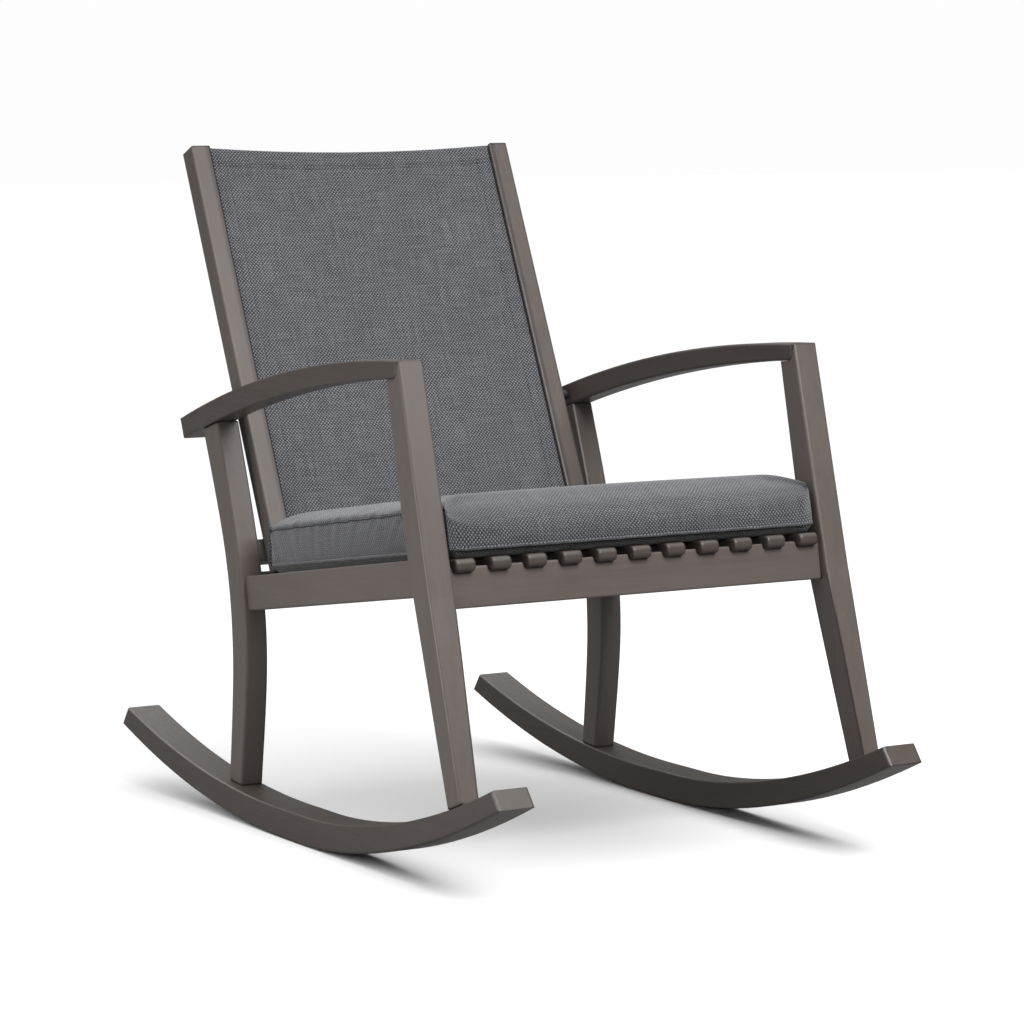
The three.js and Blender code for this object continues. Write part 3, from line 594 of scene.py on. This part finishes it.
def slingSurface(u, v):
    # u from -1 to 1 across, v from 0 to 1 up the cloth: a flat sheet whose top edge dips as a parabola
    # and whose middle gives rearwards; along the seams it is drawn in, and the hems stand proud
    top = back["height"] - back["topDrop"] - back["topDip"] * (1 - u ** 2)
    z = back["footRise"] + v * (top - back["footRise"])
    x = u * back["edgeX"]
    give = back["belly"] * np.cos(u * math.pi / 2) * (0.35 + 0.65 * np.sin(v * math.pi))
    fromSide = (1 - np.abs(u)) * back["edgeX"]
    fromTop = top - z
    topHem = 0.5 - 0.5 * np.tanh((fromTop - back["hem"]) / 0.0015)
    sideHem = 0.5 - 0.5 * np.tanh((fromSide - back["sideHem"]) / 0.0015)
    proud = back["hemProud"] * np.maximum(topHem, 0.8 * sideHem)
    drawn = np.exp(-((fromSide - back["sideHem"]) / 0.0015) ** 2)
    for seam in topSeams:
        drawn = drawn + np.exp(-((fromTop - seam) / 0.0013) ** 2)
    drawn = back["seamDepth"] * drawn
    tuck = 0.0012 * np.exp(-(fromSide / 0.004) ** 2)
    y = back["face"] + give - proud + drawn + tuck
    return np.stack([x, y, z], axis=-1)


def slingGrid():
    rows, columns = back["grid"]
    u = np.linspace(-1, 1, columns)
    v = np.linspace(0, 1, rows)
    u = np.sign(u) * (1 - (1 - np.abs(u)) ** 1.25)     # closer together at the hems
    v = 1 - (1 - v) ** 1.15
    return np.meshgrid(u, v)


def makeSling():
    u, v = slingGrid()
    points = slingSurface(u, v)
    # the top hem folds back over itself: a half turn behind the edge and a short way down
    radius = back["thickness"] * 0.9
    turnAngle = np.linspace(0, math.pi, 7)[1:]
    edge = points[-1]
    fold = [edge + np.array([0, radius * (1 - math.cos(a)), radius * math.sin(a)]) for a in turnAngle]
    down = [fold[-1] - np.array([0, 0, drop]) for drop in np.linspace(0.004, back["hem"] + 0.003, 6)]
    points = np.concatenate([points, np.array(fold), np.array(down)])
    steps = np.linalg.norm(np.diff(points, axis=0), axis=-1)
    climb = np.concatenate([np.zeros((1, points.shape[1])), np.cumsum(steps, axis=0)])
    uv = np.stack([points[..., 0], climb], axis=-1)
    mesh = gridMesh("back_cloth", intoWorld(points.reshape(-1, 3), backMatrix).reshape(points.shape), uv)
    piece = addObject("back_cloth", mesh, slingCloth)
    wall = piece.modifiers.new("cloth", "SOLIDIFY")
    wall.thickness = back["thickness"]
    wall.offset = -1.0
    length = float(climb[-1].mean())
    return piece, length


stitch = {"length": 0.0034, "pitch": 0.0046, "radius": 0.00042, "rings": 5, "sides": 6}


def makeStitches(name, starts, ends, normals, matrix):
    # each stitch is a short spindle: rings from one end to the other, widest at the middle
    rings, sides = stitch["rings"], stitch["sides"]
    stations = np.linspace(0, 1, rings)
    girth = np.sin(stations * math.pi) * 0.75 + 0.25
    angle = np.linspace(0, 2 * math.pi, sides, endpoint=False)
    ahead = ends - starts
    ahead /= np.linalg.norm(ahead, axis=1, keepdims=True)
    side = np.cross(ahead, normals)
    lift = np.sin(stations * math.pi) * stitch["radius"] * 1.2
    centre = starts[:, None] + (ends - starts)[:, None] * stations[None, :, None]
    centre = centre + normals[:, None] * lift[None, :, None]
    ring = np.cos(angle)[:, None] * side[:, None, None] + np.sin(angle)[:, None] * normals[:, None, None]
    points = centre[:, :, None] + ring * (girth * stitch["radius"])[None, :, None, None]
    first = np.arange(len(starts))[:, None] * rings * sides
    base = first[:, :, None] + np.arange(rings - 1)[None, :, None] * sides
    around = np.arange(sides)[None, None, :]
    after = (around + 1) % sides
    corners = [base + around, base + after, base + sides + after, base + sides + around]
    quads = np.stack(corners, axis=-1).reshape(-1, 4)
    firstCap = (first + np.arange(sides)[::-1]).tolist()
    lastCap = (first + (rings - 1) * sides + np.arange(sides)).tolist()
    mesh = bpy.data.meshes.new(name)
    mesh.from_pydata(intoWorld(points.reshape(-1, 3), matrix).tolist(), [], quads.tolist() + firstCap + lastCap)
    mesh.polygons.foreach_set("use_smooth", np.ones(len(mesh.polygons), bool))
    return addObject(name, mesh, threadAndSeamShade)


def makeSlingStitching():
    usable = back["height"] - back["topDrop"] - back["footRise"]
    rows = []
    half = back["edgeX"] - 0.006
    x = np.arange(-half, half, stitch["pitch"])
    for seam in topSeams:
        rows.append([slingSurface(u, 1 - seam / (usable - back["topDip"] * (1 - u ** 2)))
                     for u in (x / back["edgeX"], (x + stitch["length"]) / back["edgeX"])])
    for hand in (-1, 1):
        u = hand * (1 - back["sideHem"] / back["edgeX"])
        share = np.arange(0.02, 1 - (back["hem"] + 0.004) / usable, stitch["pitch"] / usable)
        across = np.full_like(share, u)
        rows.append((slingSurface(across, share), slingSurface(across, share + stitch["length"] / usable)))
    starts = np.concatenate([a for a, b in rows])
    ends = np.concatenate([b for a, b in rows])
    normals = np.tile(np.array([0.0, -1.0, 0.0]), (len(starts), 1))
    return makeStitches("back_stitching", starts, ends, normals, backMatrix)


sling, slingLength = makeSling()
slingStitching = makeSlingStitching()
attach(sling, "frame")
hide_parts("back_sling")
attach(slingStitching, "frame")
print("fabric back stretched, cloth length", round(slingLength, 4))

# seat cushion, drawn in the frame of the sloping seat: panels sewn along shared edges, then filled

cushion = {
    "place": (0.0, -0.350, 0.4174),
    "slope": 8.85,
    "bottom": -0.0026,                 # on the slats
    "halfWidth": 0.2780,
    "front": 0.0085,
    "rear": 0.4945,
    "lowSeam": (0.0085, 0.0115),       # height of the lower seam at the front and at the rear
    "shoulder": (0.0640, 0.0630),      # height at which the top panel leaves the boxing, front and rear
    "top": 0.0765,
    "edgeRoll": (0.010, 0.012),        # depth and height of the rolled front at the corners
    "middleRoll": (0.058, 0.042),      # and at mid width
    "cornerDraw": 0.004,               # how far the front's corners stand behind its middle
    "puff": 0.052,                     # width of the steep margin of the top panel
    "tuck": 0.0042,                    # radius at which the margin turns in to its seam
    "cell": 0.0068,
    "frontRows": 7,                    # rows of the top panel that stand against the boxing's end
    "boxingBulge": 0.0030,
    "rearLean": 0.0050,                # how far the rear's lower seam stands behind its upper one
    "bottomInset": 0.007,
    "cap": 0.005,                      # furthest that a point may move
    "frames": 16,
}
seatMatrix = Matrix.Translation(cushion["place"]) @ Matrix.Rotation(-math.radians(cushion["slope"]), 4, "X")


def ripple(position, seed, pitches=(0.019, 0.031, 0.053)):
    # a few sines with fixed phases: the small puckers that a sewing machine leaves
    total = np.zeros_like(position)
    for i, pitch in enumerate(pitches):
        total += np.sin(2 * math.pi * position / pitch + seed * 1.7 + i * 2.1) / len(pitches)
    return total


def marginSteps(reach):
    # stations from the middle outwards to one seam: even cells, the steep margin by its angle, then the tuck;
    # returns the distance from the middle, the share of the full height and the drop into the seam
    flat = np.linspace(0, reach - cushion["puff"], int((reach - cushion["puff"]) / cushion["cell"]) + 1)[:-1]
    angle = np.linspace(0, math.pi / 2, 10)
    turn = np.linspace(0, 1.4, 5)[1:]
    place = np.concatenate([flat, reach - cushion["puff"] + cushion["puff"] * np.sin(angle),
                            reach - cushion["tuck"] * (1 - np.cos(turn))])
    share = np.concatenate([np.ones(len(flat)), np.cos(angle), np.zeros(len(turn))])
    drop = np.concatenate([np.zeros(len(flat) + len(angle)), cushion["tuck"] * np.sin(turn)])
    return place, share, drop


def sectionPath(roll, frontY, shoulder, flatY):
    # the front panel, the roll and the top up to the rear margin: columns y, z and the angle it has turned
    y0, z0 = frontY, cushion["lowSeam"][0]
    depth, height = roll
    top = shoulder[0] - height
    rows = cushion["frontRows"]
    rise = np.linspace(z0, top, rows + 1)[:-1]
    turn = np.linspace(0, math.pi / 2, 13)[:-1]
    along = np.linspace(0, 1, int((cushion["rear"] - cushion["front"]) / cushion["cell"]))
    rollY, rollZ = y0 + depth * (1 - np.cos(turn)), top + height * np.sin(turn)
    y = np.concatenate([np.full(rows, y0), rollY, y0 + depth + (flatY - y0 - depth) * along])
    z = np.concatenate([rise, rollZ, shoulder[0] + (shoulder[1] - shoulder[0]) * along])
    angle = np.concatenate([np.zeros(rows), turn, np.full(len(along), math.pi / 2)])
    return np.stack([y, z], axis=-1), angle


def topPanel():
    w, y0, y1 = cushion["halfWidth"], cushion["front"], cushion["rear"]
    half, halfShare, halfDrop = marginSteps(w)
    x = np.concatenate([-half[::-1], half[1:]])
    across = np.concatenate([halfShare[::-1], halfShare[1:]])
    drop = np.concatenate([halfDrop[::-1], halfDrop[1:]])
    flatY = y1 - cushion["puff"]
    edge, angle = sectionPath(cushion["edgeRoll"], y0 + cushion["cornerDraw"], cushion["shoulder"], flatY)
    middle = sectionPath(cushion["middleRoll"], y0, (cushion["top"] - 0.001, cushion["top"]), flatY)[0]
    bow = 1 - 0.18 * (x / w) ** 2
    body = edge[:, None] + (middle - edge)[:, None] * (across * bow)[None, :, None]
    body[..., 0] += drop[None] * np.cos(angle)[:, None]
    body[..., 1] -= drop[None] * np.sin(angle)[:, None]
    # the rear margin turns down to its own seam
    late = halfShare < 1.0
    rearY = flatY + (half[late] - (w - cushion["puff"]))
    rise = body[-1, :, 1] - cushion["shoulder"][1]
    rearDrop = halfDrop[late][:, None]
    domed = halfShare[late][:, None] * rise - rearDrop
    rearZ = cushion["shoulder"][1] + np.where(rise[None] < 0, rise[None] - 0.2 * rearDrop, domed)
    rear = np.stack([np.broadcast_to(rearY[:, None], rearZ.shape), rearZ], axis=-1)
    sheet = np.concatenate([body, rear])
    points = np.stack([np.broadcast_to(x, sheet.shape[:2]), sheet[..., 0], sheet[..., 1]], axis=-1).copy()
    # puckers along the seams
    tight = np.clip(1 - across ** 2, 0, 1)[None, :] * np.clip((points[..., 1] - y0 - 0.03) / 0.05, 0, 1)
    points[..., 2] += 0.0012 * tight * ripple(points[..., 1] + 0.4 * np.sign(x)[None, :], 1.0)
    points[..., 0] += 0.0008 * tight * np.sign(x)[None, :] * ripple(points[..., 1], 2.0, (0.024, 0.041))
    return points


def lofted(first, last, shares):
    return first[None] + (last - first)[None] * shares[:, None, None]


def bellied(levels):
    # the boxing stands out quickly from both of its seams
    return cushion["boxingBulge"] * (1 - np.abs(2 * levels - 1) ** 4)


def cushionPanels():
    top = topPanel()
    corner = cushion["frontRows"]
    share = np.linspace(0, 1, corner + 1) * math.pi
    levels = 0.5 - 0.5 * np.cos(share) * (0.75 + 0.25 * np.cos(2 * share))
    rows = len(top) - corner
    rearLow = top[-1].copy()
    rearLow[:, 1] = cushion["rear"] + cushion["rearLean"]
    rearLow[:, 2] = cushion["lowSeam"][1]
    panels = {"top": top, "rear": lofted(rearLow, top[-1], levels)}
    run = np.linspace(0, 1, rows)
    for name, column in (("right", 0), ("left", -1)):
        edge = top[:, column]
        front, seam = edge[:corner + 1], edge[corner:]
        low = edge[0] + (rearLow[column] - edge[0]) * run[:, None]
        back = panels["rear"][:, column]
        s, t = run[None, :, None], levels[:, None, None]
        grid = (1 - t) * low[None] + t * seam[None] + (1 - s) * front[:, None] + s * back[:, None]
        grid = grid - (1 - t) * ((1 - s) * low[0] + s * low[-1]) - t * ((1 - s) * seam[0] + s * seam[-1])
        bulge = bellied(levels)[:, None] * np.clip(np.sin(math.pi * run) * 9, 0, 1)[None]
        grid[..., 0] += np.sign(edge[0, 0]) * bulge
        panels[name] = grid
    across = np.linspace(0, 1, top.shape[1])
    panels["rear"][..., 1] += bellied(levels)[:, None] * np.clip(np.sin(math.pi * across) * 9, 0, 1)[None]
    base = lofted(top[0], rearLow, run)
    fromRim = np.minimum(cushion["halfWidth"] - np.abs(base[..., 0]),
                         np.minimum(base[..., 1] - cushion["front"], cushion["rear"] - base[..., 1]))
    sag = np.clip(fromRim / cushion["bottomInset"], 0, 1)
    base[..., 2] += (cushion["bottom"] - base[..., 2]) * sag ** 1.4
    panels["base"] = base
    return panels


def panelCloth(points):
    # cloth lengths along the panel's middle row and middle column
    rows, columns = points.shape[:2]
    u = arcLengths(points[rows // 2])
    v = arcLengths(points[:, columns // 2])
    return np.stack(np.broadcast_arrays(u[None, :], v[:, None]), axis=-1)


def cushionBlank():
    panels = cushionPanels()
    stacked = np.concatenate([grid.reshape(-1, 3) for grid in panels.values()])
    _, first, shared = np.unique(np.round(stacked, 6), axis=0, return_index=True, return_inverse=True)
    shared = shared.ravel()
    points = stacked[first]
    faces, cloth, rims, start = [], [], {}, 0
    for name, grid in panels.items():
        index = shared[start:start + grid[..., 0].size].reshape(grid.shape[:2])
        start += index.size
        rims[name] = index
        lengths = panelCloth(grid)
        for source, target in ((index, faces), (lengths, cloth)):
            target.append(np.stack(quadCorners(source), axis=2))
    faces = np.concatenate([grid.reshape(-1, 4) for grid in faces])
    cloth = np.concatenate([grid.reshape(-1, 4, 2) for grid in cloth])
    mesh = bpy.data.meshes.new("cushion_blank")
    mesh.from_pydata(points.tolist(), [], faces.tolist())
    # faces of the base panel, which take the painted-shade cloth
    underside = np.isin(faces, rims["base"]).all(axis=1)
    mesh.materials.append(cushionCloth)
    mesh.materials.append(paintedShadeUnderside)
    mesh.polygons.foreach_set("material_index", underside.astype(np.int32))
    mesh.uv_layers.new(name=clothUv).data.foreach_set("uv", cloth.astype(np.float32).ravel())
    shell = bmesh.new()
    shell.from_mesh(mesh)
    bmesh.ops.recalc_face_normals(shell, faces=shell.faces)
    shell.to_mesh(mesh)
    shell.free()
    corner = cushion["frontRows"]
    lowSeam = np.concatenate([rims["top"][0], rims["left"][0], rims["rear"][0][::-1], rims["right"][0][::-1]])
    highSeam = np.concatenate([rims["top"][corner:, 0], rims["top"][-1], rims["top"][corner:, -1][::-1]])
    uprights = np.concatenate([rims["top"][:corner + 1, 0], rims["top"][:corner + 1, -1],
                               rims["rear"][:, 0], rims["rear"][:, -1]])
    seams = {
        "low": lowSeam,
        "high": highSeam,
        "all": np.unique(np.concatenate([lowSeam, highSeam, uprights])),
        "base": np.unique(rims["base"]),
    }
    return mesh, seams


def creaseSeams(mesh, seams):
    sewn = np.zeros(len(mesh.vertices), bool)
    sewn[seams] = True
    pairs = np.zeros(len(mesh.edges) * 2, np.int32)
    mesh.edges.foreach_get("vertices", pairs)
    both = sewn[pairs.reshape(-1, 2)].all(axis=1)
    layer = mesh.attributes.new("crease_edge", "FLOAT", "EDGE")
    layer.data.foreach_set("value", both.astype(np.float32) * 0.9)


filling = {
    "quality": 6,
    "mass": 0.4,
    "tension_stiffness": 25.0,
    "compression_stiffness": 25.0,
    "shear_stiffness": 12.0,
    "bending_stiffness": 1.5,
    "use_pressure": True,
    "uniform_pressure_force": 2.2,
    "vertex_group_mass": "seams",
}


def evaluatedCopy(body):
    return bpy.data.meshes.new_from_object(body.evaluated_get(bpy.context.evaluated_depsgraph_get()))


def inflate(mesh, pinned):
    body = bpy.data.objects.new("inflating", mesh)
    bpy.context.scene.collection.objects.link(body)
    start = coordinates(mesh)
    body.vertex_groups.new(name="seams").add(pinned.tolist(), 1.0, "REPLACE")
    cloth = body.modifiers.new("filling", "CLOTH")
    for name, value in filling.items():
        setattr(cloth.settings, name, value)
    cloth.settings.effector_weights.gravity = 0.0
    cloth.collision_settings.use_collision = False
    cloth.point_cache.frame_start = 1
    cloth.point_cache.frame_end = cushion["frames"]
    scene = bpy.context.scene
    scene.frame_start = 1
    scene.frame_end = cushion["frames"]
    for number in range(1, cushion["frames"] + 1):
        scene.frame_set(number)
    filled = evaluatedCopy(body)
    end = coordinates(filled)
    bpy.data.objects.remove(body)
    scene.frame_set(1)
    move = end - start
    far = np.linalg.norm(move, axis=1, keepdims=True)
    move *= np.minimum(1.0, cushion["cap"] / np.maximum(far, 1e-9))
    putCoordinates(filled, start + move)
    print("cushion filled, furthest point moved", round(float(far.max()) * 1000, 1), "mm")
    return filled


def smoothSubdivided(mesh):
    body = bpy.data.objects.new("subdividing", mesh)
    bpy.context.scene.collection.objects.link(body)
    level = body.modifiers.new("fine", "SUBSURF")
    level.levels = 1
    level.render_levels = 1
    bpy.context.view_layer.update()
    fine = evaluatedCopy(body)
    bpy.data.objects.remove(body)
    return fine


welt = {"radius": 0.0019, "proud": 0.0016, "samples": 460, "sides": 8}


def withoutRepeats(line):
    return line[np.linalg.norm(np.diff(line, axis=0, append=line[:1]), axis=1) > 1e-5]


def evenLoop(points, count):
    closed = np.concatenate([points, points[:1]])
    run = arcLengths(closed)
    even = np.linspace(0, run[-1], count, endpoint=False)
    return np.stack([np.interp(even, run, closed[:, i]) for i in range(3)], axis=-1)


def makeWelt(seam):
    # the cord follows the lower seam, a little proud of it, and the corners round off
    path = evenLoop(withoutRepeats(seam), welt["samples"])
    kernel = np.ones(9) / 9.0
    padded = np.concatenate([path[-4:], path, path[:4]])
    path = np.stack([np.convolve(padded[:, i], kernel, mode="valid") for i in range(3)], axis=-1)
    ahead = np.roll(path, -1, axis=0) - np.roll(path, 1, axis=0)
    outward = np.stack([ahead[:, 1], -ahead[:, 0], np.zeros(len(path))], axis=-1)
    outward /= np.linalg.norm(outward, axis=1, keepdims=True)
    path = path + outward * welt["proud"]
    path[:, 2] += 0.0005 * ripple(np.arange(len(path)) * 0.0045, 5.0)
    mesh = tubeMesh("cushion_welt", intoWorld(path, seatMatrix), welt["radius"], welt["sides"], closed=True)
    return addObject("cushion_welt", mesh, cushionCloth)


seamShadeLine = {"radius": 0.0008, "offset": 0.0004, "sides": 6}


def makeSeamShadeLine(seam):
    # painted shade: a near-black cord along the seam that closes the top panel to the boxing, standing in for
    # the shade in the seam's valley
    path = withoutRepeats(seam)
    path[:, 2] -= seamShadeLine["offset"]
    path[:, 0] += seamShadeLine["offset"] * np.sign(path[:, 0])
    path = intoWorld(path, seatMatrix)
    mesh = tubeMesh("cushion_seam_painted_shade", path, seamShadeLine["radius"], seamShadeLine["sides"])
    return addObject("cushion_seam_painted_shade", mesh, threadAndSeamShade)


def makeCushion():
    mesh, seams = cushionBlank()
    lowLine, highLine = coordinates(mesh)[seams["low"]], coordinates(mesh)[seams["high"]]
    mesh = inflate(mesh, np.union1d(seams["all"], seams["base"]))
    creaseSeams(mesh, seams["all"])
    mesh = smoothSubdivided(mesh)
    points = coordinates(mesh)
    points[:, 2] = np.maximum(points[:, 2], cushion["bottom"])
    putCoordinates(mesh, intoWorld(points, seatMatrix))
    mesh.polygons.foreach_set("use_smooth", np.ones(len(mesh.polygons), bool))
    body = bpy.data.objects.new("cushion_body", mesh)
    bpy.context.scene.collection.objects.link(body)
    return body, makeWelt(lowLine), makeSeamShadeLine(highLine)


cushionBody, cushionWelt, cushionSeamShade = makeCushion()
for piece in (cushionBody, cushionWelt, cushionSeamShade):
    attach(piece, "cushion")
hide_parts("seat_cushion")
print("seat cushion sewn")
